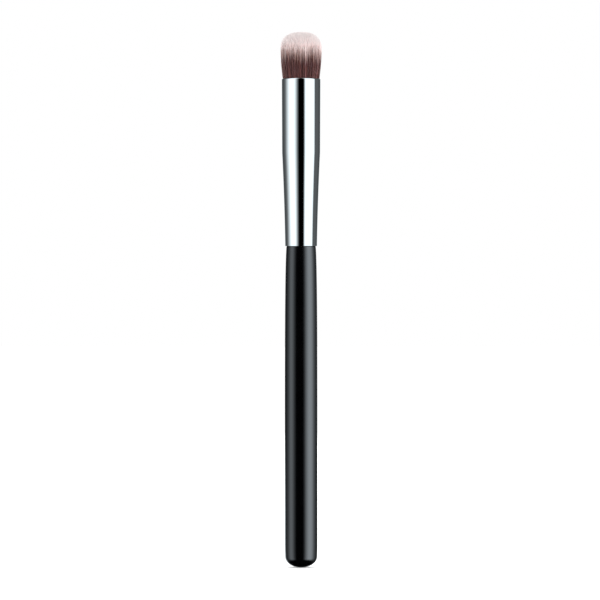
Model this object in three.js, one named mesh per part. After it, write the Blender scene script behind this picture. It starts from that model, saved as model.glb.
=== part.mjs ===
// Concealer brush: a lacquered wooden handle, a plated metal ferrule and a short domed tuft of
// dip-dyed filaments, with the glue, the set filament roots and the binding thread inside the ferrule.
// Millimetres, +Z up the brush, origin at the lowest point of the handle's rounded butt.
import * as THREE from "three";

// Handle
const HANDLE_LENGTH = 96; // butt to the ferrule's lower edge
const HANDLE_DIAMETER = 9.75; // fullest part of the grip
const BUTT_DIAMETER = 9.55; // where the rounded end meets the side
const BUTT_DEPTH = 3.2; // height of the rounded end
const BUTT_SWELL = 4; // height over which the side swells from the butt to the full grip
const GRIP_TOP = 27; // height at which the long taper to the neck starts
const NECK_DRAW_IN = 7; // height over which the neck narrows quickly
const NECK_CLEARANCE = 0.07; // neck to the ferrule's bore
const NECK_TUCK = 1.5; // how far the lacquered neck reaches into the ferrule
const TENON_LENGTH = 22; // bare wood inside the ferrule, measured from the ferrule's lower edge
const TENON_CHAMFER = 0.8;
const TENON_GLUE_ROOM = 0.32; // tenon to the narrowest bore, filled with adhesive

// Ferrule
const TAPER_LENGTH = 28; // lower edge to the shoulder
const BARREL_LENGTH = 22; // shoulder to the mouth
const TAIL_DIAMETER = 9.53; // outside, at the lower edge
const SHOULDER_DIAMETER = 11.4; // outside, where the taper starts
const MOUTH_DIAMETER = 11.6; // outside, at the mouth
const TAPER_HOLLOW = 0.22; // how far the taper's control point sits inside the straight cone
const FERRULE_WALL = 0.3;
const LIP_RADIUS = 0.3; // rounding of the mouth's outer edge

// Tuft, its set roots and the binding thread
const TUFT_HEIGHT = 14.05; // mouth of the ferrule to the top of the dome
const BELLY_DIAMETER = 12.25; // widest part of the tuft
const BELLY_HEIGHT = 9.2; // mouth of the ferrule to the widest part
const DOME_EXPONENT = 2.4; // 2 is an ellipse, and more is squarer
const TUFT_CLEARANCE = 0.08; // tuft to the ferrule's bore
const ROOT_RECESS = 4; // mouth of the ferrule down to the top of the set roots
const ROOT_LENGTH = 14; // depth of filament roots set in glue
const BOND_GAP = 0.05; // left between bonded pieces so that their faces stay apart
const THREAD_DIAMETER = 0.4;
const THREAD_TURNS = 3;
const THREAD_SPACING = 0.06; // between neighbouring turns
const THREAD_CLEARANCE = 0.07; // thread to its groove
const THREAD_HEIGHT = 4; // bottom of the set roots to the groove

// Facets
const ROUND_SEGMENTS = 40;
const CURVE_DIVISIONS = 8;
const THREAD_SIDES = 8;
const THREAD_STEPS_PER_TURN = 28;

// Sizes that follow from the ones above. Heights inside the ferrule count from its lower edge.
const gripRadius = HANDLE_DIAMETER / 2;
const ferruleLength = TAPER_LENGTH + BARREL_LENGTH;
const tailRadius = TAIL_DIAMETER / 2;
const shoulderRadius = SHOULDER_DIAMETER / 2;
const mouthRadius = MOUTH_DIAMETER / 2;
const tailBore = tailRadius - FERRULE_WALL;
const neckRadius = tailBore - NECK_CLEARANCE;
const tenonRadius = tailBore - TENON_GLUE_ROOM;
const lipRadius = Math.min(LIP_RADIUS, FERRULE_WALL);
const rootTop = ferruleLength - ROOT_RECESS;
const rootBottom = rootTop - ROOT_LENGTH;
const threadPitch = THREAD_DIAMETER + THREAD_SPACING;
const grooveBottom = rootBottom + THREAD_HEIGHT;
const grooveWidth = THREAD_TURNS * threadPitch + THREAD_DIAMETER + 2 * THREAD_CLEARANCE;

// The ferrule's outer skin from its lower edge to just under the lip, as (radius, height)
const ferruleSkin = new THREE.Path()
  .moveTo(tailRadius, 0)
  .quadraticCurveTo(
    (tailRadius + shoulderRadius) / 2 - TAPER_HOLLOW,
    TAPER_LENGTH / 2,
    shoulderRadius,
    TAPER_LENGTH,
  )
  .lineTo(mouthRadius, ferruleLength - lipRadius)
  .getPoints(CURVE_DIVISIONS);

// Radius of the ferrule's bore at a height
function boreRadius(height) {
  const above = ferruleSkin.findIndex((point) => point.y >= height);
  if (above === 0) return tailBore;
  if (above < 0) return mouthRadius - FERRULE_WALL;
  const low = ferruleSkin[above - 1];
  const high = ferruleSkin[above];
  const share = (height - low.y) / (high.y - low.y);
  return THREE.MathUtils.lerp(low.x, high.x, share) - FERRULE_WALL;
}

// The bore's outline between two heights, moved inwards by a gap
function boreStretch(low, high, gap) {
  const bends = ferruleSkin.map((point) => point.y).filter((height) => height > low && height < high);
  return [low, ...bends, high].map((height) => new THREE.Vector2(boreRadius(height) - gap, height));
}

// A round solid from its outline, given as (radius, height) points from the bottom up
function turned(outline) {
  return new THREE.LatheGeometry(outline, ROUND_SEGMENTS);
}

// Handle: rounded butt, long gentle taper, quick neck and a bare tenon for the ferrule
function handleGeometry() {
  const tenonTop = HANDLE_LENGTH + TENON_LENGTH;
  const outline = new THREE.Path()
    .moveTo(0, 0)
    .absellipse(0, BUTT_DEPTH, BUTT_DIAMETER / 2, BUTT_DEPTH, -Math.PI / 2, 0)
    .quadraticCurveTo(gripRadius, BUTT_DEPTH + BUTT_SWELL / 2, gripRadius, BUTT_DEPTH + BUTT_SWELL)
    .lineTo(gripRadius, GRIP_TOP)
    .bezierCurveTo(
      gripRadius,
      (GRIP_TOP + HANDLE_LENGTH) / 2,
      gripRadius,
      HANDLE_LENGTH - NECK_DRAW_IN,
      neckRadius,
      HANDLE_LENGTH,
    )
    .lineTo(neckRadius, HANDLE_LENGTH + NECK_TUCK)
    .lineTo(tenonRadius, HANDLE_LENGTH + NECK_TUCK)
    .lineTo(tenonRadius, tenonTop - TENON_CHAMFER)
    .lineTo(tenonRadius - TENON_CHAMFER, tenonTop)
    .lineTo(0, tenonTop);
  return turned(outline.getPoints(CURVE_DIVISIONS));
}

// Sleeve of adhesive that fills the room between the tenon and the ferrule's tapered bore
function tenonAdhesiveGeometry() {
  const low = NECK_TUCK + BOND_GAP;
  const high = TENON_LENGTH - TENON_CHAMFER;
  const innerRadius = tenonRadius + BOND_GAP;
  const inside = [new THREE.Vector2(innerRadius, high), new THREE.Vector2(innerRadius, low)];
  const outside = boreStretch(low, high, BOND_GAP);
  return turned([...outside, ...inside, outside[0]]);
}

// Ferrule: drawn tube with a swaged taper, a straight barrel and a rounded lip
function ferruleGeometry() {
  const lip = new THREE.Path()
    .absarc(mouthRadius - lipRadius, ferruleLength - lipRadius, lipRadius, 0, Math.PI / 2)
    .getPoints(CURVE_DIVISIONS / 4)
    .slice(1);
  const bore = boreStretch(0, ferruleLength, 0).reverse();
  const flatLip = lipRadius < FERRULE_WALL ? bore : bore.slice(1);
  return turned([...ferruleSkin, ...lip, ...flatLip, ferruleSkin[0]]);
}

// Radius of the set roots' groove, which the binding thread lies in
function grooveRadius() {
  const rootRadius = boreRadius(grooveBottom) - BOND_GAP;
  return rootRadius - THREAD_DIAMETER - 2 * THREAD_CLEARANCE;
}

// Filament roots set solid in glue, with the waist that the binding thread pulls in
function rootPlugGeometry() {
  const grooveTop = grooveBottom + grooveWidth;
  return turned([
    new THREE.Vector2(0, rootBottom),
    ...boreStretch(rootBottom, grooveBottom, BOND_GAP),
    new THREE.Vector2(grooveRadius(), grooveBottom),
    new THREE.Vector2(grooveRadius(), grooveTop),
    ...boreStretch(grooveTop, rootTop, BOND_GAP),
    new THREE.Vector2(0, rootTop),
  ]);
}

// The thread's centre line, wound up round the roots
class Winding extends THREE.Curve {
  getPoint(share, target = new THREE.Vector3()) {
    const radius = grooveRadius() + THREAD_CLEARANCE + THREAD_DIAMETER / 2;
    const start = grooveBottom + THREAD_CLEARANCE + THREAD_DIAMETER / 2;
    const angle = 2 * Math.PI * THREAD_TURNS * share;
    const height = start + THREAD_TURNS * threadPitch * share;
    return target.set(radius * Math.cos(angle), height, -radius * Math.sin(angle));
  }
}

// Waxed thread that ties the bundle before it is drawn into the ferrule
function bindingThreadGeometry() {
  const section = new THREE.Shape();
  for (let side = 0; side < THREAD_SIDES; side++) {
    const angle = (2 * Math.PI * side) / THREAD_SIDES;
    const x = (THREAD_DIAMETER / 2) * Math.cos(angle);
    const y = (THREAD_DIAMETER / 2) * Math.sin(angle);
    if (side === 0) section.moveTo(x, y);
    else section.lineTo(x, y);
  }
  section.closePath();
  return new THREE.ExtrudeGeometry(section, {
    steps: THREAD_TURNS * THREAD_STEPS_PER_TURN,
    extrudePath: new Winding(),
  });
}

// Free filaments: out of the mouth, flaring to the belly, then closing in a squarish dome
function filamentTuftGeometry() {
  const bellyRadius = BELLY_DIAMETER / 2;
  const bellyTop = ferruleLength + BELLY_HEIGHT;
  const domeHeight = TUFT_HEIGHT - BELLY_HEIGHT;
  const shaft = boreStretch(rootTop + BOND_GAP, ferruleLength, TUFT_CLEARANCE);
  const flare = new THREE.QuadraticBezierCurve(
    shaft.at(-1),
    new THREE.Vector2(bellyRadius, ferruleLength + BELLY_HEIGHT / 2),
    new THREE.Vector2(bellyRadius, bellyTop),
  );
  const dome = [];
  for (let step = 1; step <= CURVE_DIVISIONS; step++) {
    const angle = (Math.PI / 2) * (step / CURVE_DIVISIONS);
    const across = step < CURVE_DIVISIONS ? Math.cos(angle) ** (2 / DOME_EXPONENT) : 0;
    const up = Math.sin(angle) ** (2 / DOME_EXPONENT);
    dome.push(new THREE.Vector2(bellyRadius * across, bellyTop + domeHeight * up));
  }
  const foot = new THREE.Vector2(0, rootTop + BOND_GAP);
  return turned([foot, ...shaft, ...flare.getPoints(CURVE_DIVISIONS).slice(1), ...dome]);
}

function piece(name, geometry, color, roughness, metalness) {
  const material = new THREE.MeshStandardMaterial({ color, roughness, metalness });
  const mesh = new THREE.Mesh(geometry, material);
  mesh.name = name;
  return mesh;
}

// Everything that sits in the ferrule is placed from the ferrule's lower edge
const head = new THREE.Group();
head.position.y = HANDLE_LENGTH;
head.add(
  piece("tenon_adhesive", tenonAdhesiveGeometry(), 0xd8c48a, 0.4, 0),
  piece("ferrule", ferruleGeometry(), 0xdfe3e6, 0.06, 1),
  piece("root_plug", rootPlugGeometry(), 0x5a4436, 0.5, 0),
  piece("binding_thread", bindingThreadGeometry(), 0xe6dcc8, 0.8, 0),
  piece("filament_tuft", filamentTuftGeometry(), 0xa48a88, 0.6, 0),
);

// Turned shapes grow along +Y, so the whole brush is stood up on +Z
const upright = new THREE.Group();
upright.rotation.x = Math.PI / 2;
upright.add(piece("handle", handleGeometry(), 0x0b0c0e, 0.22, 0), head);

const concealerBrush = new THREE.Group();
concealerBrush.name = "concealer_brush";
concealerBrush.add(upright);

export default concealerBrush;
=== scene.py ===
"""Concealer brush: lacquered handle, plated ferrule and a tuft of single filaments, on a white stage."""

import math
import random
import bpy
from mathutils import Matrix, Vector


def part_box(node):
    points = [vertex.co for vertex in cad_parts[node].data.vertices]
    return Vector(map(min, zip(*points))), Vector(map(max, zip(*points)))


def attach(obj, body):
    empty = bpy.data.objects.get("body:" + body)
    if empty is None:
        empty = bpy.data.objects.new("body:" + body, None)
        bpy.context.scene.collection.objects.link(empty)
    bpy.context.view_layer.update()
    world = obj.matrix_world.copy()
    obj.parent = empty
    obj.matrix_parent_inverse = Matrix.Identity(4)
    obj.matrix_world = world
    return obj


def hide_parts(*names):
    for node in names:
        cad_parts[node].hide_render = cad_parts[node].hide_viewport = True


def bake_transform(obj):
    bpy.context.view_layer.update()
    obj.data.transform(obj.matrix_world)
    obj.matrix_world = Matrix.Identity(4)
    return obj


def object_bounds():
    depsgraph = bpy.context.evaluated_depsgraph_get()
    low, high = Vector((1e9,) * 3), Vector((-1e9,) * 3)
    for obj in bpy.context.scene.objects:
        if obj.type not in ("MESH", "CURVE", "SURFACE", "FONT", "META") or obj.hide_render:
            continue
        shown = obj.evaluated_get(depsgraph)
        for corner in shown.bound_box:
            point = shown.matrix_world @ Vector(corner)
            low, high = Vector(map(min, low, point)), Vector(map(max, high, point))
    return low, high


bl_info = {
    "name": "Concealer Brush",
    "version": (1, 0, 0),
    "blender": (4, 5, 0),
    "location": "3D View > Sidebar > Brush",
    "description": "Builds a concealer brush round its CAD frame, with a plain studio stage",
    "category": "Add Mesh",
}

from typing import NamedTuple

import bmesh
import bpy
import numpy
from bpy.props import FloatProperty, FloatVectorProperty, IntProperty, PointerProperty
from mathutils import Vector
from mathutils.kdtree import KDTree

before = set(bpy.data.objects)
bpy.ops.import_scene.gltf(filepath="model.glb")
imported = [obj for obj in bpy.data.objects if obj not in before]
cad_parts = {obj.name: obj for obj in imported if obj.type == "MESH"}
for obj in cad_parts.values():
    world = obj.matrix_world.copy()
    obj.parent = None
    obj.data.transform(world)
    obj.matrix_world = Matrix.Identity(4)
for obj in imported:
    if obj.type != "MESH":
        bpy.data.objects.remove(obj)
CAD_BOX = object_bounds()
HANDLE_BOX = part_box("handle")
FERRULE_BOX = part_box("ferrule")
TUFT_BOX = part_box("filament_tuft")
MM = 0.001

# Heights that the CAD frame fixes
FERRULE_TAIL = FERRULE_BOX[0].z
FERRULE_MOUTH = FERRULE_BOX[1].z
TUFT_FOOT = TUFT_BOX[0].z
TUFT_TOP = TUFT_BOX[1].z

# Foot of the tuft, counted from the ferrule's mouth
ROOT_HEIGHT = TUFT_FOOT - FERRULE_MOUTH

# How finely round shapes and curves are drawn
ROUND_STEPS = 144
CURVE_STEPS = 20
BUTT_STEPS = 16
LIP_STEPS = 5
SHARP_ANGLE = math.radians(40)
MERGE_DISTANCE = 0.001 * MM

# Sides of a filament, and the steps it rises in
FILAMENT_SIDES = 3
SIDE_STEPS = 9
CROWN_STEPS = 3

# Angle from one filament to the next in an even spread, and the seed of what chance decides
GOLDEN_ANGLE = math.pi * (3 - math.sqrt(5))
TUFT_SEED = 2


class Habit(NamedTuple):
    """How far filaments wander: tip and bow as shares of the bundle's radius, and the dye in metres."""

    drift: float
    bow: float
    dye_spread: float


# Most filaments lie combed, and the stray share crosses its neighbours
COMBED = Habit(drift=0.02, bow=0.01, dye_spread=0.3 * MM)
STRAY = Habit(drift=0.1, bow=0.03, dye_spread=1 * MM)
STRAY_SHARE = 0.12

# Least and most of a filament's thickness and shade, as shares of the usual ones. The shade is drawn anew
# for each step along the filament: partly tone that differs at random, partly painted glints along it.
FILAMENT_WIDTHS = (0.8, 1.15)
FILAMENT_SHADES_AND_GLINTS = (0.8, 1.2)

# How unlike filaments are in warmth of colour and in length
WARMTH_SPREAD = 0.09
TRIM_SPREAD = 0.08 * MM

# Width of a tapered tip, as a share of its filament's
TIP_WIDTH = 0.35

# Drawn length of a crown filament, in crown depths
CROWN_LENGTH = 1.5

# The core's streaks, which show between the filaments. Their shades differ at random from column to
# column, and are darker on the whole than the filaments' as painted shade of the depth between them.
CORE_DYE_SPREAD = 1.2 * MM
CORE_SHADES_AND_DEPTH_SHADE = (0.6, 1)

# How far locks and wisps lie from an even spread, as a share of the bundle's radius
LOCK_SCATTER = 0.012

# How unlike the locks are, and the finer wisps, in dye height and in shade
LOCK_DYE_SPREAD = 0.4 * MM
LOCK_SHADE_SPREAD = 0.2
WISP_DYE_SPREAD = 1.1 * MM
WISP_SHADE_SPREAD = 0.6

# Ends of the range of dye shifts, in spreads. A negative shift is a lock that is dyed higher.
DYED_HIGHEST = -1
DYED_LOWEST = 2

# What the gloss shows round the brush, as (azimuth, brightness). Azimuth 0 is towards the camera and
# 90 is to its right. The metal and the lacquer have their own softboxes and dark flags.
METAL_ROUND = (
    (-180, 0.9),
    (-163, 0.9),
    (-159, 0.08),
    (-133, 0.08),
    (-118, 0.12),
    (-108, 0.2),
    (-98, 0.5),
    (-88, 0.85),
    (-74, 1.4),
    (-42, 1.4),
    (-33, 0.9),
    (-27, 0.47),
    (-21, 0.17),
    (-14, 0),
    (14, 0),
    (17, 0.06),
    (22, 0.7),
    (27, 1.35),
    (82, 1.35),
    (88, 0.8),
    (90, 0.12),
    (120, 0.12),
    (136, 0.08),
    (159, 0.08),
    (163, 0.9),
    (180, 0.9),
)
LACQUER_ROUND = (
    (-180, 0.06),
    (-140, 0.08),
    (-122, 0.14),
    (-100, 0.83),
    (-84, 2.2),
    (-72, 2.6),
    (-60, 1.95),
    (-50, 0.8),
    (-36, 0.03),
    (-25, 0),
    (13, 0),
    (23, 0.5),
    (38, 3.1),
    (52, 5.3),
    (64, 5.8),
    (80, 4.6),
    (100, 1.5),
    (115, 0.5),
    (130, 0.17),
    (180, 0.06),
)

# A low softbox behind the brush, which the lacquer shows when it is seen from behind and above
REAR_ROUND = ((-175, 0), (-162, 1.5), (-152, 1.5), (-134, 0))

# How their brightness changes with the angle of height, as (elevation, share)
METAL_HEIGHT = ((-90, 1), (90, 1))
LACQUER_HEIGHT = ((-90, 0), (-50, 0), (-32, 1), (90, 1))
REAR_HEIGHT = ((-34, 0), (-28, 1), (-10, 1), (-6, 0))

# The softboxes that each dome holds
METAL_PANELS = ((METAL_ROUND, METAL_HEIGHT),)
LACQUER_PANELS = ((LACQUER_ROUND, LACQUER_HEIGHT), (REAR_ROUND, REAR_HEIGHT))

# Radii of the domes. The lacquer's lies outside the metal's, which lets its light through.
METAL_DOME = 0.5
LACQUER_DOME = 0.52
DOME_SEGMENTS = 360
DOME_RINGS = 45


class Lamp(NamedTuple):
    """A square lamp's place round the brush and its size, with azimuth 0 towards the camera."""

    azimuth: float
    distance: float
    height: float
    size: float


FRONT_LAMP = Lamp(azimuth=15, distance=1.1, height=0.5, size=0.7)
BACK_LAMP = Lamp(azimuth=195, distance=1.1, height=0.5, size=0.7)
TOP_LAMP = Lamp(azimuth=180, distance=0.2, height=1.1, size=0.8)

# From the brush to each edge of the floor
FLOOR_REACH = 6

# A colour Mix node's sockets, by number because its other kinds have the same names
MIX_SHARE = 0
MIX_FIRST = 6
MIX_SECOND = 7
MIX_RESULT = 2


def linear(hex_colour):
    """The linear colour of an sRGB hex value."""
    channels = [int(hex_colour[i : i + 2], 16) / 255 for i in (1, 3, 5)]
    return tuple(c / 12.92 if c <= 0.04045 else ((c + 0.055) / 1.055) ** 2.4 for c in channels)


def length(name, default, description):
    """A length property, in metres."""
    return FloatProperty(
        name=name, description=description, default=default, unit="LENGTH", precision=5
    )


def colour(name, hex_colour, description):
    """A colour property."""
    return FloatVectorProperty(
        name=name,
        description=description,
        default=linear(hex_colour),
        size=3,
        min=0,
        max=1,
        subtype="COLOR",
    )


class HandleSettings(bpy.types.PropertyGroup):
    """Sizes and colours of the wooden handle"""

    diameter: length("Diameter", 2 * HANDLE_BOX[1].x, "Fullest part of the grip")
    butt_diameter: length("Butt diameter", 9.55 * MM, "Where the rounded end meets the side")
    butt_depth: length("Butt depth", 3.2 * MM, "Height of the rounded end")
    butt_swell: length("Butt swell", 4 * MM, "Height from the butt to the full grip")
    grip_top: length("Grip top", 27 * MM, "Height at which the long taper starts")
    neck_diameter: length("Neck diameter", 8.79 * MM, "At the ferrule's lower edge")
    neck_draw_in: length("Neck draw-in", 7 * MM, "Height over which the neck narrows quickly")
    neck_round: length("Neck rounding", 0.3 * MM, "Rounded shoulder under the ferrule's edge")
    neck_tuck: length("Neck tuck", 1.5 * MM, "Lacquered neck inside the ferrule")
    tenon_diameter: length("Tenon diameter", 8.29 * MM, "Bare wood inside the ferrule")
    tenon_chamfer: length("Tenon chamfer", 0.8 * MM, "At the tenon's end")
    lacquer: colour("Lacquer", "#020203", "Black lacquer on the grip")
    birch: colour("Birch", "#cfb083", "Bare wood of the tenon")


class FerruleSettings(bpy.types.PropertyGroup):
    """Sizes and colours of the plated ferrule"""

    taper_length: length("Taper length", 28 * MM, "Lower edge to the shoulder")
    tail_diameter: length("Tail diameter", 9.53 * MM, "Outside, at the lower edge")
    shoulder_diameter: length("Shoulder diameter", 11.4 * MM, "Outside, where the taper starts")
    mouth_diameter: length("Mouth diameter", 2 * FERRULE_BOX[1].x, "Outside, at the mouth")
    taper_hollow: length("Taper hollow", 0.22 * MM, "Control point inside the straight cone")
    wall: length("Wall", 0.3 * MM, "Thickness of the drawn tube")
    plating: colour("Plating", "#f0f1f2", "Bright plating")


class TuftSettings(bpy.types.PropertyGroup):
    """Sizes and colours of the filament tuft"""

    count: IntProperty(name="Filaments", description="Drawn filaments", default=11000, min=100)
    locks: IntProperty(name="Locks", description="Locks that cling together", default=700, min=10)
    wisps: IntProperty(name="Wisps", description="Wisps that share a dye height", default=4500, min=10)
    cling: FloatProperty(
        name="Cling", description="How far tips close in on their lock", default=0.2, min=0, max=1
    )
    packed: FloatProperty(
        name="Packed share", description="Share of the radius drawn packed", default=0.9, min=0, max=1
    )
    crown_depth: length("Crown depth", 0.7 * MM, "Free tips above the packed core")
    root_diameter: length("Root diameter", 10.84 * MM, "Bundle inside the ferrule")
    belly_diameter: length("Belly diameter", 2 * TUFT_BOX[1].x, "Widest part")
    belly_height: length("Belly height", 9.2 * MM, "Mouth of the ferrule to the widest part")
    dome_exponent: FloatProperty(
        name="Dome exponent", description="2 is an ellipse, more is squarer", default=2.4, min=1.5
    )
    filament: length("Filament", 0.09 * MM, "Drawn thickness, coarser than real so that it shows")
    dye_line: length("Dye line", 7.65 * MM, "Mean height above the mouth at which the dye ends")
    dyed: colour("Dyed base", "#5c3a39", "Plum-brown dye")
    faded: colour("Faded part", "#b59791", "Where the dye runs out")
    pale: colour("Pale part", "#fbe6e4", "Undyed upper part")
    # The tapered tips are mixed towards this greyer colour: partly the thin tips' own colour, partly
    # painted shade of the dome's rim
    painted_tip_shade: colour("Feathered tips", "#eae4e3", "Tapered tips, thin enough to look grey")
    feather: length("Feathering", 0.8 * MM, "Length of the tapered tip")


class InsideSettings(bpy.types.PropertyGroup):
    """Colours of the pieces inside the ferrule"""

    adhesive: colour("Adhesive", "#cfa457", "Cured amber adhesive")
    roots: colour("Set roots", "#6b4c42", "Filament ends set in glue")
    thread: colour("Thread", "#e4d8c0", "Waxed binding thread")


class StageSettings(bpy.types.PropertyGroup):
    """Camera, floor and light"""

    camera_distance: length("Camera distance", 1.27, "Camera to the brush's axis")
    camera_height: length("Camera height", 79.9 * MM, "Height of the level camera")
    camera_side: length("Camera side", -0.33 * MM, "Sideways place of the camera")
    frame_width: length("Frame width", 179.3 * MM, "Width of the picture at the brush")
    floor: colour("Floor", "#e6e6e6", "Pale paint of the floor")
    floor_glow: FloatProperty(
        name="Floor glow", description="Lift that makes the lit floor white", default=0.3, min=0
    )
    metal_light: colour("Metal light", "#eef9fd", "Slightly cool cloth that the metal shows")
    lacquer_light: colour("Lacquer light", "#ecf7ff", "Bluer cloth that the lacquer shows")
    front: FloatProperty(name="Front", description="Power of the front lamp", default=6, unit="POWER")
    back: FloatProperty(name="Back", description="Power of the back lamp", default=3.5, unit="POWER")
    top: FloatProperty(name="Top", description="Power of the top lamp", default=5, unit="POWER")
    room: FloatProperty(name="Room", description="Soft light from all round", default=1, min=0)


def add_node(tree, kind, inputs=(), **settings):
    """Add a node with its settings. An input given as a socket is linked, and any other is set."""
    node = tree.nodes.new(kind)
    for name, value in settings.items():
        setattr(node, name, value)
    for name, value in dict(inputs).items():
        if isinstance(value, bpy.types.NodeSocket):
            tree.links.new(value, node.inputs[name])
        else:
            node.inputs[name].default_value = value
    return node


def new_material(name):
    """An empty node material and its tree."""
    material = bpy.data.materials.new(name)
    material.use_nodes = True
    material.node_tree.nodes.clear()
    return material, material.node_tree


def opaque(rgb):
    """A colour socket's value."""
    return (*rgb, 1)


def scaled(rgb, share):
    """A darker or lighter shade of a colour."""
    return [share * c for c in rgb]


def set_ramp(node, stops):
    """Put (position, colour) stops on a colour ramp."""
    ramp = node.color_ramp
    while len(ramp.elements) < len(stops):
        ramp.elements.new(1)
    for element, (position, rgb) in zip(ramp.elements, stops):
        element.position = position
        element.color = opaque(rgb)


def lacquer_material(settings):
    """Black lacquer, dipped and polished over sanded birch: deep black with soft-edged reflections,
    because the film keeps a faint ripple of the wood and a little haze."""
    material, tree = new_material("black_lacquer_on_birch")
    ripple_size = 2.4 * MM
    haze_size = 6 * MM
    place = add_node(tree, "ShaderNodeTexCoord").outputs["Object"]
    haze = add_node(
        tree, "ShaderNodeTexNoise", {"Vector": place, "Scale": 1 / haze_size, "Detail": 3.0}
    )
    roughness = add_node(
        tree,
        "ShaderNodeMapRange",
        {"Value": haze.outputs[0], "From Min": 0.3, "From Max": 0.7, "To Min": 0.12, "To Max": 0.16},
    )
    tint = add_node(tree, "ShaderNodeValToRGB", {"Fac": haze.outputs[0]})
    black = settings.lacquer
    set_ramp(tint, [(0.3, scaled(black, 0.8)), (0.7, scaled(black, 1.2))])
    ripple = add_node(
        tree, "ShaderNodeTexNoise", {"Vector": place, "Scale": 1 / ripple_size, "Detail": 1.0}
    )
    bump = add_node(
        tree,
        "ShaderNodeBump",
        {"Height": ripple.outputs[0], "Strength": 0.15, "Distance": 0.01 * MM},
    )
    shader = add_node(
        tree,
        "ShaderNodeBsdfPrincipled",
        {
            "Base Color": tint.outputs[0],
            "Roughness": roughness.outputs[0],
            "IOR": 1.5,
            "Normal": bump.outputs[0],
        },
    )
    add_node(tree, "ShaderNodeOutputMaterial", {"Surface": shader.outputs[0]})
    return material


def birch_material(settings):
    """Bare birch, turned and sanded: pale fine grain along the handle, no gloss."""
    material, tree = new_material("bare_birch")
    grain_width = 0.5 * MM
    grain_length = 12 * MM
    place = add_node(tree, "ShaderNodeTexCoord").outputs["Object"]
    stretched = add_node(
        tree,
        "ShaderNodeMapping",
        {"Vector": place, "Scale": (1 / grain_width, 1 / grain_width, 1 / grain_length)},
    )
    grain = add_node(
        tree, "ShaderNodeTexNoise", {"Vector": stretched.outputs[0], "Scale": 1.0, "Detail": 4.0}
    )
    tint = add_node(tree, "ShaderNodeValToRGB", {"Fac": grain.outputs[0]})
    wood = settings.birch
    set_ramp(tint, [(0.35, scaled(wood, 0.75)), (0.65, wood)])
    bump = add_node(
        tree, "ShaderNodeBump", {"Height": grain.outputs[0], "Strength": 0.3, "Distance": 0.03 * MM}
    )
    shader = add_node(
        tree,
        "ShaderNodeBsdfPrincipled",
        {"Base Color": tint.outputs[0], "Roughness": 0.7, "Normal": bump.outputs[0]},
    )
    add_node(tree, "ShaderNodeOutputMaterial", {"Surface": shader.outputs[0]})
    return material


def plating_material(settings):
    """Bright nickel-chrome plating on a drawn and polished tube: a near mirror, a little cool,
    with faint draw lines along the tube and patches polished more or less."""
    material, tree = new_material("chrome_plated_brass")
    line_width = 0.25 * MM
    line_length = 25 * MM
    patch_size = 5 * MM
    place = add_node(tree, "ShaderNodeTexCoord").outputs["Object"]
    stretched = add_node(
        tree,
        "ShaderNodeMapping",
        {"Vector": place, "Scale": (1 / line_width, 1 / line_width, 1 / line_length)},
    )
    lines = add_node(
        tree, "ShaderNodeTexNoise", {"Vector": stretched.outputs[0], "Scale": 1.0, "Detail": 2.0}
    )
    patches = add_node(
        tree, "ShaderNodeTexNoise", {"Vector": place, "Scale": 1 / patch_size, "Detail": 2.0}
    )
    roughness = add_node(
        tree,
        "ShaderNodeMapRange",
        {"Value": patches.outputs[0], "From Min": 0.3, "From Max": 0.7, "To Min": 0.04, "To Max": 0.07},
    )
    bump = add_node(
        tree,
        "ShaderNodeBump",
        {"Height": lines.outputs[0], "Strength": 0.1, "Distance": 0.002 * MM},
    )
    tint = add_node(tree, "ShaderNodeValToRGB", {"Fac": lines.outputs[0]})
    metal = settings.plating
    set_ramp(tint, [(0.3, scaled(metal, 0.95)), (0.7, metal)])
    shader = add_node(
        tree,
        "ShaderNodeBsdfPrincipled",
        {
            "Base Color": tint.outputs[0],
            "Metallic": 1.0,
            "Roughness": roughness.outputs[0],
            "Normal": bump.outputs[0],
        },
    )
    add_node(tree, "ShaderNodeOutputMaterial", {"Surface": shader.outputs[0]})
    return material


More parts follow.
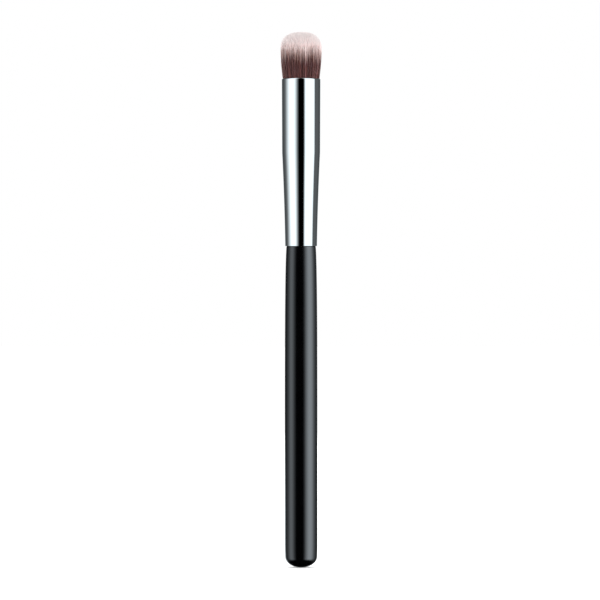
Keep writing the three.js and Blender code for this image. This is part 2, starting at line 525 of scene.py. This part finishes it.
def filament_material(settings):
    """Dip-dyed polyester filament: plum-brown at the base, bleeding out over a few millimetres at a
    height that differs from lock to lock, to pale soft tips that are greyed with painted shade. Each
    filament has its own shade, with painted glints that change from step to step along it, which
    shows less where it is pale, and a little light passes through it."""
    material, tree = new_material("dip_dyed_polyester_filament")
    fade_below = 2.6 * MM
    fade_above = 2 * MM
    faded_at = 0.56
    height = add_node(tree, "ShaderNodeAttribute", attribute_name="dye_height").outputs["Fac"]
    tint = add_node(tree, "ShaderNodeAttribute", attribute_name="tint").outputs["Color"]
    feather = add_node(tree, "ShaderNodeAttribute", attribute_name="feather").outputs["Fac"]
    share = add_node(
        tree,
        "ShaderNodeMapRange",
        {
            "Value": height,
            "From Min": settings.dye_line - fade_below,
            "From Max": settings.dye_line + fade_above,
        },
    )
    dye = add_node(tree, "ShaderNodeValToRGB", {"Fac": share.outputs[0]})
    set_ramp(dye, [(0.0, settings.dyed), (faded_at, settings.faded), (1.0, settings.pale)])
    tint_share = add_node(
        tree,
        "ShaderNodeMapRange",
        {"Value": share.outputs[0], "From Max": 0.8, "To Min": 1.0, "To Max": 0.1},
    )
    shaded = add_node(
        tree,
        "ShaderNodeMix",
        {MIX_SHARE: tint_share.outputs[0], MIX_FIRST: dye.outputs[0], MIX_SECOND: tint},
        data_type="RGBA",
        blend_type="MULTIPLY",
    )
    # The tapered tips take the greyer tip colour: partly their own colour, partly painted shade
    painted_tip_shade = add_node(
        tree,
        "ShaderNodeMix",
        {
            MIX_SHARE: feather,
            MIX_FIRST: shaded.outputs[MIX_RESULT],
            MIX_SECOND: opaque(settings.painted_tip_shade),
        },
        data_type="RGBA",
    )
    shader = add_node(
        tree,
        "ShaderNodeBsdfPrincipled",
        {
            "Base Color": painted_tip_shade.outputs[MIX_RESULT],
            "Roughness": 0.5,
            "Specular IOR Level": 0.3,
            "Subsurface Weight": 0.4,
            "Subsurface Radius": (1.0, 1.0, 1.0),
            "Subsurface Scale": 0.2 * MM,
        },
    )
    add_node(tree, "ShaderNodeOutputMaterial", {"Surface": shader.outputs[0]})
    return material


def adhesive_material(settings):
    """Cured solvent adhesive: clear amber, glossy, with cloudy parts where air was trapped."""
    material, tree = new_material("cured_amber_adhesive")
    cloud_size = 1.5 * MM
    place = add_node(tree, "ShaderNodeTexCoord").outputs["Object"]
    clouds = add_node(
        tree, "ShaderNodeTexNoise", {"Vector": place, "Scale": 1 / cloud_size, "Detail": 3.0}
    )
    tint = add_node(tree, "ShaderNodeValToRGB", {"Fac": clouds.outputs[0]})
    amber = settings.adhesive
    set_ramp(tint, [(0.35, scaled(amber, 0.6)), (0.65, amber)])
    shader = add_node(
        tree,
        "ShaderNodeBsdfPrincipled",
        {"Base Color": tint.outputs[0], "Roughness": 0.25, "IOR": 1.5},
    )
    add_node(tree, "ShaderNodeOutputMaterial", {"Surface": shader.outputs[0]})
    return material


def set_roots_material(settings):
    """Filament ends soaked in glue and set hard: fine upright streaks under a glassy film."""
    material, tree = new_material("filament_roots_in_glue")
    streak_width = 0.2 * MM
    streak_length = 8 * MM
    place = add_node(tree, "ShaderNodeTexCoord").outputs["Object"]
    stretched = add_node(
        tree,
        "ShaderNodeMapping",
        {"Vector": place, "Scale": (1 / streak_width, 1 / streak_width, 1 / streak_length)},
    )
    streaks = add_node(
        tree, "ShaderNodeTexNoise", {"Vector": stretched.outputs[0], "Scale": 1.0, "Detail": 2.0}
    )
    tint = add_node(tree, "ShaderNodeValToRGB", {"Fac": streaks.outputs[0]})
    brown = settings.roots
    set_ramp(tint, [(0.35, scaled(brown, 0.5)), (0.65, brown)])
    bump = add_node(
        tree, "ShaderNodeBump", {"Height": streaks.outputs[0], "Strength": 0.5, "Distance": 0.05 * MM}
    )
    shader = add_node(
        tree,
        "ShaderNodeBsdfPrincipled",
        {"Base Color": tint.outputs[0], "Roughness": 0.3, "Normal": bump.outputs[0]},
    )
    add_node(tree, "ShaderNodeOutputMaterial", {"Surface": shader.outputs[0]})
    return material


def thread_material(settings):
    """Waxed polyester thread: pale, matt, with the slanting lines of its twist."""
    material, tree = new_material("waxed_thread")
    twist_pitch = 0.5 * MM
    place = add_node(tree, "ShaderNodeTexCoord").outputs["Object"]
    twist = add_node(
        tree,
        "ShaderNodeTexWave",
        {"Vector": place, "Scale": 1 / (math.pi * twist_pitch), "Distortion": 2.0},
        bands_direction="DIAGONAL",
    )
    tint = add_node(tree, "ShaderNodeValToRGB", {"Fac": twist.outputs["Fac"]})
    pale = settings.thread
    set_ramp(tint, [(0.1, scaled(pale, 0.65)), (0.6, pale)])
    shader = add_node(
        tree, "ShaderNodeBsdfPrincipled", {"Base Color": tint.outputs[0], "Roughness": 0.6}
    )
    add_node(tree, "ShaderNodeOutputMaterial", {"Surface": shader.outputs[0]})
    return material


def curve_points(controls, steps):
    """Points along a Bezier curve of any degree, after its first point."""
    found = []
    for step in range(1, steps + 1):
        points = [Vector(control) for control in controls]
        while len(points) > 1:
            points = [a.lerp(b, step / steps) for a, b in zip(points, points[1:])]
        found.append(points[0])
    return found


def turned(outline, closed=False):
    """A round mesh spun from an outline of (radius, height) points."""
    bm = bmesh.new()
    verts = [bm.verts.new((radius, 0, height)) for radius, height in outline]
    ends = verts[1:] + verts[:1] if closed else verts[1:]
    edges = [bm.edges.new(pair) for pair in zip(verts, ends)]
    bmesh.ops.spin(
        bm,
        geom=verts + edges,
        cent=(0, 0, 0),
        axis=(0, 0, 1),
        angle=2 * math.pi,
        steps=ROUND_STEPS,
        use_merge=True,
    )
    bmesh.ops.remove_doubles(bm, verts=bm.verts, dist=MERGE_DISTANCE)
    bmesh.ops.recalc_face_normals(bm, faces=bm.faces)
    return bm


def new_piece(name, bm, materials):
    """An object at the origin from a finished bmesh, smooth but for its sharp edges."""
    for face in bm.faces:
        face.smooth = True
    mesh = bpy.data.meshes.new(name)
    bm.to_mesh(mesh)
    bm.free()
    mesh.set_sharp_from_angle(angle=SHARP_ANGLE)
    for material in materials:
        mesh.materials.append(material)
    piece = bpy.data.objects.new(name, mesh)
    bpy.context.scene.collection.objects.link(piece)
    return piece


class BRUSH_OT_handle(bpy.types.Operator):
    """Turn the wooden handle, lacquered up to the neck and bare on the tenon"""

    bl_idname = "brush.handle"
    bl_label = "Handle"

    def execute(self, context):
        s = context.scene.brush_handle
        bm = turned(self.outline(s))
        lacquer_top = FERRULE_TAIL + s.neck_tuck
        for face in bm.faces:
            face.material_index = int(face.calc_center_median().z > lacquer_top)
        handle = new_piece("lacquered_handle", bm, [lacquer_material(s), birch_material(s)])
        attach(handle, "handle_assembly")
        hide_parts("handle")
        return {"FINISHED"}

    def outline(self, s):
        """Butt, grip, long taper, neck and tenon."""
        grip = s.diameter / 2
        butt = s.butt_diameter / 2
        neck = s.neck_diameter / 2
        tenon = s.tenon_diameter / 2
        lacquer_top = FERRULE_TAIL + s.neck_tuck
        tenon_top = HANDLE_BOX[1].z
        points = []
        for step in range(BUTT_STEPS + 1):
            angle = math.pi / 2 * step / BUTT_STEPS
            points.append((butt * math.sin(angle), s.butt_depth * (1 - math.cos(angle))))
        swell_top = s.butt_depth + s.butt_swell
        swell = [(butt, s.butt_depth), (grip, (s.butt_depth + swell_top) / 2), (grip, swell_top)]
        points += curve_points(swell, BUTT_STEPS)
        shoulder = FERRULE_TAIL - s.neck_round
        taper = [
            (grip, s.grip_top),
            (grip, (s.grip_top + FERRULE_TAIL) / 2),
            (grip, FERRULE_TAIL - s.neck_draw_in),
            (neck, shoulder),
        ]
        points += [taper[0], *curve_points(taper, CURVE_STEPS)]
        rounding = [(neck, shoulder), (neck, FERRULE_TAIL), (neck - s.neck_round, FERRULE_TAIL)]
        points += curve_points(rounding, LIP_STEPS)
        points += [
            (neck - s.neck_round, lacquer_top),
            (tenon, lacquer_top),
            (tenon, tenon_top - s.tenon_chamfer),
            (tenon - s.tenon_chamfer, tenon_top),
            (0, tenon_top),
        ]
        return points


class BRUSH_OT_ferrule(bpy.types.Operator):
    """Draw the plated tube with its hollow taper and its rounded lip"""

    bl_idname = "brush.ferrule"
    bl_label = "Ferrule"

    def execute(self, context):
        s = context.scene.brush_ferrule
        ferrule = new_piece("plated_ferrule", turned(self.outline(s), closed=True), [plating_material(s)])
        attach(ferrule, "handle_assembly")
        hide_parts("ferrule")
        return {"FINISHED"}

    def outline(self, s):
        """Outer skin upwards, round the lip and down the bore."""
        tail = s.tail_diameter / 2
        shoulder = s.shoulder_diameter / 2
        mouth = s.mouth_diameter / 2
        shoulder_height = FERRULE_TAIL + s.taper_length
        lip_height = FERRULE_MOUTH - s.wall
        middle = ((tail + shoulder) / 2 - s.taper_hollow, FERRULE_TAIL + s.taper_length / 2)
        taper = [(tail, FERRULE_TAIL), middle, (shoulder, shoulder_height)]
        skin = [taper[0], *curve_points(taper, CURVE_STEPS), (mouth, lip_height)]
        lip = []
        for step in range(1, LIP_STEPS):
            angle = math.pi / 2 * step / LIP_STEPS
            radius = mouth - s.wall * (1 - math.cos(angle))
            lip.append((radius, lip_height + s.wall * math.sin(angle)))
        bore = [(radius - s.wall, height) for radius, height in reversed(skin)]
        return [*skin, *lip, (mouth - s.wall, FERRULE_MOUTH), *bore]


class BRUSH_OT_inside(bpy.types.Operator):
    """Finish the pieces that the ferrule hides: adhesive, set roots and binding thread"""

    bl_idname = "brush.inside"
    bl_label = "Inside pieces"

    def execute(self, context):
        s = context.scene.brush_inside
        finishes = {
            "tenon_adhesive": adhesive_material(s),
            "root_plug": set_roots_material(s),
            "binding_thread": thread_material(s),
        }
        for node, material in finishes.items():
            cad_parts[node].material_slots[0].material = material
        return {"FINISHED"}


class Filament:
    """One filament: its place in the bundle, its bends, its length, its thickness and its dye."""

    def __init__(self, place, lock, wisp, draw, s):
        habit = STRAY if draw.random() < STRAY_SHARE else COMBED
        self.place = place
        self.tip_place = place.lerp(lock.place, s.cling)
        self.tip_place += Vector((draw.gauss(0, habit.drift), draw.gauss(0, habit.drift)))
        if self.tip_place.length > 1:
            self.tip_place.normalize()
        self.bow = Vector((draw.gauss(0, habit.bow), draw.gauss(0, habit.bow)))
        self.turn = draw.uniform(0, 2 * math.pi)
        self.radius = s.filament / 2 * draw.uniform(*FILAMENT_WIDTHS)
        self.top = tip_height(self.tip_place.length, s) - abs(draw.gauss(0, TRIM_SPREAD))
        self.dye_shift = lock.dye_shift + wisp.dye_shift + draw.gauss(0, habit.dye_spread)
        self.tints = []
        # A shade for each step along the filament: random tone, with painted glints where it changes
        # along it
        for _ in range(SIDE_STEPS + 1):
            shade = lock.shade * wisp.shade * draw.uniform(*FILAMENT_SHADES_AND_GLINTS)
            self.tints.append(filament_tint(shade, draw))


class Lock:
    """Neighbouring filaments that share a shade and a dye height. Most locks are dyed a little higher
    than the mean, and a few much less high."""

    def __init__(self, place, dye_spread, shade_spread, draw):
        self.place = place
        self.dye_shift = dye_spread * draw.triangular(DYED_HIGHEST, DYED_LOWEST, DYED_HIGHEST)
        self.shade = draw.uniform(1 - shade_spread, 1 + shade_spread)


def spread_locks(count, dye_spread, shade_spread, draw):
    """Spread locks over the bundle, and return what finds the nearest one to a place."""
    locks = []
    tree = KDTree(count)
    for index in range(count):
        scatter = Vector((draw.gauss(0, LOCK_SCATTER), draw.gauss(0, LOCK_SCATTER)))
        place = sunflower(index, count) + scatter
        locks.append(Lock(place, dye_spread, shade_spread, draw))
        tree.insert(place.to_3d(), index)
    tree.balance()
    return lambda place: locks[tree.find(place.to_3d())[1]]


def filament_tint(shade, draw):
    """A filament's own shade, a little redder or greyer than the next one's."""
    warmth = draw.gauss(0, WARMTH_SPREAD)
    return (shade * (1 + warmth), shade, shade * (1 - warmth), 1)


def tip_height(across, s):
    """Height of the dome above the mouth at a share of the belly's radius."""
    dome = TUFT_TOP - FERRULE_MOUTH - s.belly_height
    return s.belly_height + dome * max(0, 1 - across**s.dome_exponent) ** (1 / s.dome_exponent)


def bundle_radius(height, s):
    """Radius of the bundle at a height above the mouth: straight in the ferrule, then flaring."""
    rest = min(1, max(0, 1 - height / s.belly_height))
    return s.belly_diameter / 2 - rest**2 * (s.belly_diameter - s.root_diameter) / 2


def sunflower(index, count):
    """An even spread of points over the unit disc, from its middle out."""
    radius = math.sqrt((index + 0.5) / count)
    angle = index * GOLDEN_ANGLE
    return Vector((radius * math.cos(angle), radius * math.sin(angle)))


class BRUSH_OT_tuft(bpy.types.Operator):
    """Grow the tuft filament by filament round a packed core"""

    bl_idname = "brush.tuft"
    bl_label = "Tuft"

    def execute(self, context):
        s = context.scene.brush_tuft
        material = filament_material(s)
        filaments = self.bundle(s)
        crown = [f for f in filaments if f.place.length < s.packed]
        side = [f for f in filaments if f.place.length >= s.packed]
        meshes = {
            "packed_core": self.core(s),
            "side_filaments": self.grown(side, lambda f: ROOT_HEIGHT, SIDE_STEPS, s),
            "crown_filaments": self.grown(crown, lambda f: self.crown_foot(f, s), CROWN_STEPS, s),
        }
        for name, bm in meshes.items():
            piece = new_piece(name, bm, [material])
            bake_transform(piece)
            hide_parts("filament_tuft")
        return {"FINISHED"}

    def bundle(self, s):
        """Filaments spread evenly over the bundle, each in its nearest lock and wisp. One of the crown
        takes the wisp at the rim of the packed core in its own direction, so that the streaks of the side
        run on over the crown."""
        draw = random.Random(TUFT_SEED)
        lock_at = spread_locks(s.locks, LOCK_DYE_SPREAD, LOCK_SHADE_SPREAD, draw)
        wisp_at = spread_locks(s.wisps, WISP_DYE_SPREAD, WISP_SHADE_SPREAD, draw)
        found = []
        for index in range(s.count):
            place = sunflower(index, s.count)
            rim = place.normalized() * max(place.length, s.packed)
            found.append(Filament(place, lock_at(place), wisp_at(rim), draw, s))
        return found

    def core(self, s):
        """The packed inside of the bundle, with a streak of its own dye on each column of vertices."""
        side_top = s.belly_height - s.crown_depth
        outline = [(0, TUFT_FOOT), (s.packed * bundle_radius(ROOT_HEIGHT, s), TUFT_FOOT)]
        for step in range(CURVE_STEPS + 1):
            height = side_top * step / CURVE_STEPS
            outline.append((s.packed * bundle_radius(height, s), FERRULE_MOUTH + height))
        for step in range(1, CURVE_STEPS + 1):
            across = math.cos(math.pi / 2 * step / CURVE_STEPS)
            height = tip_height(across, s) - s.crown_depth
            outline.append((s.packed * across * s.belly_diameter / 2, FERRULE_MOUTH + height))
        bm = turned(outline)
        dye_height = bm.verts.layers.float.new("dye_height")
        tint = bm.verts.layers.float_color.new("tint")
        draw = random.Random(TUFT_SEED)
        streaks = []
        # Each column's shade: random tone, darker on the whole than the filaments' as painted shade of
        # the depth
        for _ in range(ROUND_STEPS):
            shift = draw.gauss(0, CORE_DYE_SPREAD)
            streaks.append((shift, filament_tint(draw.uniform(*CORE_SHADES_AND_DEPTH_SHADE), draw)))
        for vert in bm.verts:
            turn = math.atan2(vert.co.y, vert.co.x) / (2 * math.pi)
            shift, streak_tint = streaks[round(turn * ROUND_STEPS) % ROUND_STEPS]
            vert[dye_height] = vert.co.z - FERRULE_MOUTH + shift
            vert[tint] = streak_tint
        return bm

    def crown_foot(self, filament, s):
        """Height above the mouth at which a crown filament starts, out of sight under the other tips."""
        return filament.top - CROWN_LENGTH * s.crown_depth

    def grown(self, filaments, foot_of, steps, s):
        """Root triangles extruded step by step to the dome. The last step is the tapered tip."""
        bm = bmesh.new()
        owner = bm.faces.layers.int.new("owner")
        dye_height = bm.verts.layers.float.new("dye_height")
        tint = bm.verts.layers.float_color.new("tint")
        feather = bm.verts.layers.float.new("feather")
        ends = []
        for index in range(len(filaments)):
            end = bm.faces.new([bm.verts.new() for _ in range(FILAMENT_SIDES)])
            end[owner] = index
            ends.append(end)
        for step in range(steps + 1):
            if step > 0:
                ends = bmesh.ops.extrude_discrete_faces(bm, faces=ends)["faces"]
            at_tip = step == steps
            width = TIP_WIDTH if at_tip else 1
            for end in ends:
                filament = filaments[end[owner]]
                foot = foot_of(filament)
                taper_foot = filament.top - s.feather
                height = filament.top if at_tip else foot + (taper_foot - foot) * step / (steps - 1)
                centre = self.centre(filament, height, s)
                for corner, vert in enumerate(end.verts):
                    angle = filament.turn + 2 * math.pi * corner / FILAMENT_SIDES
                    offset = Vector((math.cos(angle), math.sin(angle), 0))
                    vert.co = centre + width * filament.radius * offset
                    vert[dye_height] = height + filament.dye_shift
                    vert[tint] = filament.tints[step]
                    vert[feather] = at_tip
        open_edges = [edge for edge in bm.edges if edge.is_boundary]
        bmesh.ops.holes_fill(bm, edges=open_edges, sides=FILAMENT_SIDES)
        bmesh.ops.recalc_face_normals(bm, faces=bm.faces)
        return bm

    def centre(self, filament, height, s):
        """A filament's centre at a height above the mouth."""
        share = max(0, height / filament.top)
        place = filament.place.lerp(filament.tip_place, share**2)
        place += filament.bow * math.sin(math.pi * share)
        if place.length > 1:
            place.normalize()
        flat = place * bundle_radius(height, s)
        return Vector((flat.x, flat.y, FERRULE_MOUTH + height))


def light_dome(name, radius, panels, material, receiver):
    """A dome of softboxes and flags that shows in the gloss of one piece alone."""
    bm = bmesh.new()
    bmesh.ops.create_uvsphere(bm, u_segments=DOME_SEGMENTS, v_segments=DOME_RINGS, radius=radius)
    glow = bm.verts.layers.float.new("glow")
    for vert in bm.verts:
        azimuth = math.degrees(math.atan2(vert.co.x, -vert.co.y))
        elevation = math.degrees(math.asin(vert.co.z / vert.co.length))
        for round_profile, height_profile in panels:
            share = numpy.interp(elevation, *zip(*height_profile))
            vert[glow] += share * numpy.interp(azimuth, *zip(*round_profile))
    bmesh.ops.translate(bm, verts=bm.verts, vec=(0, 0, (CAD_BOX[0].z + CAD_BOX[1].z) / 2))
    dome = new_piece(name, bm, [material])
    dome.visible_camera = False
    dome.visible_diffuse = False
    dome.visible_shadow = False
    receivers = bpy.data.collections.new(f"{name}_receivers")
    receivers.objects.link(bpy.data.objects[receiver])
    dome.light_linking.receiver_collection = receivers


def glow_material(name, cloth, see_through):
    """Lit cloth and dark card, as bright at each place as the dome's own "glow" says."""
    material, tree = new_material(name)
    glow = add_node(tree, "ShaderNodeAttribute", attribute_name="glow").outputs["Fac"]
    shader = add_node(tree, "ShaderNodeEmission", {"Color": opaque(cloth), "Strength": glow})
    if see_through:
        clear = add_node(tree, "ShaderNodeBsdfTransparent")
        shader = add_node(tree, "ShaderNodeAddShader", {0: shader.outputs[0], 1: clear.outputs[0]})
    add_node(tree, "ShaderNodeOutputMaterial", {"Surface": shader.outputs[0]})
    return material


def soft_lamp(name, plan, power):
    """A square lamp that looks at the tuft and doesn't show in the gloss."""
    data = bpy.data.lights.new(name, "AREA")
    data.size = plan.size
    data.energy = power
    angle = math.radians(plan.azimuth)
    place = Vector((plan.distance * math.sin(angle), -plan.distance * math.cos(angle), plan.height))
    aim = Vector((0, 0, FERRULE_MOUTH)) - place
    lamp = bpy.data.objects.new(name, data)
    lamp.location = place
    lamp.rotation_euler = aim.to_track_quat("-Z", "Y").to_euler()
    lamp.visible_glossy = False
    lamp.visible_camera = False
    bpy.context.scene.collection.objects.link(lamp)


class BRUSH_OT_stage(bpy.types.Operator):
    """Set the camera, the pale floor, the lamps, the softboxes with their flags and the room light"""

    bl_idname = "brush.stage"
    bl_label = "Stage"

    def execute(self, context):
        s = context.scene.brush_stage
        context.scene.view_settings.view_transform = "Standard"
        self.camera(context, s)
        self.floor(s)
        self.lights(s)
        self.world(context, s)
        return {"FINISHED"}

    def camera(self, context, s):
        """A level camera in front of the brush."""
        data = bpy.data.cameras.new("camera")
        data.lens = data.sensor_width * s.camera_distance / s.frame_width
        camera = bpy.data.objects.new("camera", data)
        camera.location = (s.camera_side, -s.camera_distance, s.camera_height)
        camera.rotation_euler = (math.pi / 2, 0, 0)
        context.scene.collection.objects.link(camera)
        context.scene.camera = camera

    def floor(self, s):
        """A pale floor that looks white where it is lit and keeps the brush's shadow."""
        material, tree = new_material("pale_floor")
        seen = add_node(tree, "ShaderNodeLightPath").outputs["Is Camera Ray"]
        paint = add_node(tree, "ShaderNodeBsdfDiffuse", {"Color": opaque(s.floor)})
        glow = add_node(tree, "ShaderNodeEmission", {"Strength": s.floor_glow})
        lifted = add_node(tree, "ShaderNodeAddShader", {0: paint.outputs[0], 1: glow.outputs[0]})
        seen_or_not = add_node(
            tree, "ShaderNodeMixShader", {0: seen, 1: paint.outputs[0], 2: lifted.outputs[0]}
        )
        add_node(tree, "ShaderNodeOutputMaterial", {"Surface": seen_or_not.outputs[0]})
        bm = bmesh.new()
        bmesh.ops.create_grid(bm, x_segments=1, y_segments=1, size=FLOOR_REACH)
        floor = new_piece("floor", bm, [material])
        floor.visible_glossy = False

    def lights(self, s):
        """Soft lamps in front, behind and above, and the domes that the gloss shows."""
        cloth = glow_material("softbox_cloth", s.lacquer_light, False)
        veil = glow_material("softbox_veil", s.metal_light, True)
        light_dome("lacquer_dome", LACQUER_DOME, LACQUER_PANELS, cloth, "lacquered_handle")
        light_dome("metal_dome", METAL_DOME, METAL_PANELS, veil, "plated_ferrule")
        soft_lamp("front_lamp", FRONT_LAMP, s.front)
        soft_lamp("back_lamp", BACK_LAMP, s.back)
        soft_lamp("top_lamp", TOP_LAMP, s.top)

    def world(self, context, s):
        """White behind the brush, for the camera and in gloss, and soft light from all round."""
        world = bpy.data.worlds.new("white_room")
        world.use_nodes = True
        tree = world.node_tree
        tree.nodes.clear()
        path = add_node(tree, "ShaderNodeLightPath").outputs
        seen = path["Is Camera Ray"]
        for name in ("Is Glossy Ray", "Is Transmission Ray"):
            either = add_node(tree, "ShaderNodeMath", {0: seen, 1: path[name]}, operation="MAXIMUM")
            seen = either.outputs[0]
        white = opaque((1, 1, 1))
        room = add_node(tree, "ShaderNodeBackground", {"Color": white, "Strength": s.room})
        backdrop = add_node(tree, "ShaderNodeBackground", {"Color": white, "Strength": 1.0})
        mixed = add_node(
            tree, "ShaderNodeMixShader", {0: seen, 1: room.outputs[0], 2: backdrop.outputs[0]}
        )
        add_node(tree, "ShaderNodeOutputWorld", {"Surface": mixed.outputs[0]})
        context.scene.world = world


OPERATORS = (BRUSH_OT_handle, BRUSH_OT_ferrule, BRUSH_OT_inside, BRUSH_OT_tuft, BRUSH_OT_stage)
SETTINGS = {
    "brush_handle": HandleSettings,
    "brush_ferrule": FerruleSettings,
    "brush_tuft": TuftSettings,
    "brush_inside": InsideSettings,
    "brush_stage": StageSettings,
}


class BRUSH_PT_panel(bpy.types.Panel):
    """The brush's pieces and their settings"""

    bl_label = "Concealer Brush"
    bl_idname = "BRUSH_PT_panel"
    bl_space_type = "VIEW_3D"
    bl_region_type = "UI"
    bl_category = "Brush"

    def draw(self, context):
        for operator in OPERATORS:
            self.layout.operator(operator.bl_idname)
        for name, group in SETTINGS.items():
            box = self.layout.box()
            for prop in group.__annotations__:
                box.prop(getattr(context.scene, name), prop)


def register():
    for group in (*SETTINGS.values(), *OPERATORS, BRUSH_PT_panel):
        bpy.utils.register_class(group)
    for name, group in SETTINGS.items():
        setattr(bpy.types.Scene, name, PointerProperty(type=group))


def unregister():
    for name in SETTINGS:
        delattr(bpy.types.Scene, name)
    for group in (BRUSH_PT_panel, *reversed(OPERATORS), *reversed(SETTINGS.values())):
        bpy.utils.unregister_class(group)


def main():
    register()
    bpy.ops.brush.handle()
    bpy.ops.brush.ferrule()
    bpy.ops.brush.inside()
    bpy.ops.brush.tuft()
    bpy.ops.brush.stage()


if __name__ == "__main__":
    main()
